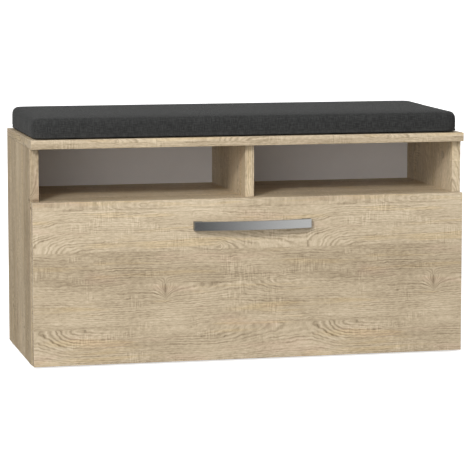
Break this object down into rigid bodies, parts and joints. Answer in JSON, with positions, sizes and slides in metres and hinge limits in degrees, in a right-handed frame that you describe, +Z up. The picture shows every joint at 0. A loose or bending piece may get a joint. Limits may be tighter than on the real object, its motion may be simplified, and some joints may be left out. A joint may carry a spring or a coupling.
{
  "type": "entryway bench",
  "caption": "Low shoe bench in pale oak decor with two open niches over one deep drawer on roller runners, a bow handle and a flat charcoal seat pad.",
  "frame": {"origin": "on the floor, under the middle of the bench's overall box with the handle and the seat pad", "axes": "+X along the bench to its right, +Y from the drawer front to the back, +Z up"},
  "size_m": [0.9, 0.371, 0.502],
  "materials": {
    "oak_decor": "satin",
    "white_hdf": "matte",
    "white_board": "satin",
    "pine": "matte",
    "beech": "matte",
    "brushed_nickel": "satin",
    "zinc": "satin",
    "runner_enamel": "satin",
    "roller_nylon": "satin",
    "cap_plastic": "matte",
    "glide_plastic": "satin",
    "bumper_gel": "satin",
    "hook_tape": "matte",
    "loop_tape": "matte",
    "charcoal_cloth": "matte",
    "base_cloth": "matte",
    "foam": "matte"
  },
  "bodies": {
    "carcass": {"top_panel": "oak_decor", "left_side_panel": "oak_decor", "right_side_panel": "oak_decor", "niche_shelf": "oak_decor", "niche_divider": "oak_decor", "bottom_panel": "oak_decor", "back_panel": "white_hdf", "back_panel_nails": "zinc", "cam_housings": "zinc", "cam_bolts": "zinc", "cam_caps": "cap_plastic", "wooden_dowels": "beech", "divider_screws": "zinc", "left_cabinet_runner": "runner_enamel", "right_cabinet_runner": "runner_enamel", "cabinet_runner_screws": "zinc", "front_roller_pins": "zinc", "floor_glides": "glide_plastic", "hook_strips": "hook_tape"},
    "drawer": {"drawer_front": "oak_decor", "drawer_left_side": "white_board", "drawer_right_side": "white_board", "drawer_back": "white_board", "drawer_bottom": "white_hdf", "drawer_bottom_batten": "pine", "drawer_cam_housings": "zinc", "drawer_cam_bolts": "zinc", "drawer_dowels": "beech", "drawer_box_screws": "zinc", "drawer_bottom_screws": "zinc", "left_drawer_runner": "runner_enamel", "right_drawer_runner": "runner_enamel", "drawer_runner_screws": "zinc", "rear_roller_pins": "zinc", "pull_handle": "brushed_nickel", "handle_screws": "zinc", "front_bumpers": "bumper_gel"},
    "left_front_roller": {"left_front_roller": "roller_nylon"},
    "right_front_roller": {"right_front_roller": "roller_nylon"},
    "left_rear_roller": {"left_rear_roller": "roller_nylon"},
    "right_rear_roller": {"right_rear_roller": "roller_nylon"},
    "seat_cushion": {"cushion_cover": "charcoal_cloth", "cushion_base_cloth": "base_cloth", "foam_core": "foam", "loop_strips": "loop_tape"}
  },
  "joints": [
    {"name": "drawer_slide", "type": "slide", "parent": "carcass", "child": "drawer", "axis": [0, -1, 0], "range_m": [0, 0.24]},
    {"name": "left_front_roller_turn", "type": "hinge", "parent": "carcass", "child": "left_front_roller", "pos_m": [-0.4273, -0.1245, 0.0485], "axis": [1, 0, 0], "range_deg": [0, 1320]},
    {"name": "left_rear_roller_turn", "type": "hinge", "parent": "drawer", "child": "left_rear_roller", "pos_m": [-0.4242, 0.1495, 0.0448], "axis": [1, 0, 0], "range_deg": [0, 1320]},
    {"name": "right_front_roller_turn", "type": "hinge", "parent": "carcass", "child": "right_front_roller", "pos_m": [0.4273, -0.1245, 0.0485], "axis": [1, 0, 0], "range_deg": [0, 1320]},
    {"name": "right_rear_roller_turn", "type": "hinge", "parent": "drawer", "child": "right_rear_roller", "pos_m": [0.4242, 0.1495, 0.0448], "axis": [1, 0, 0], "range_deg": [0, 1320]},
    {"name": "cushion_lift", "type": "slide", "parent": "carcass", "child": "seat_cushion", "axis": [0, 0, 1], "range_m": [0, 0.06]}
  ],
  "couplings": [
    {"joint": "left_front_roller_turn", "follows": "drawer_slide", "rad_per_m": 95.238},
    {"joint": "left_rear_roller_turn", "follows": "drawer_slide", "rad_per_m": 95.238},
    {"joint": "right_front_roller_turn", "follows": "drawer_slide", "rad_per_m": 95.238},
    {"joint": "right_rear_roller_turn", "follows": "drawer_slide", "rad_per_m": 95.238}
  ]
}
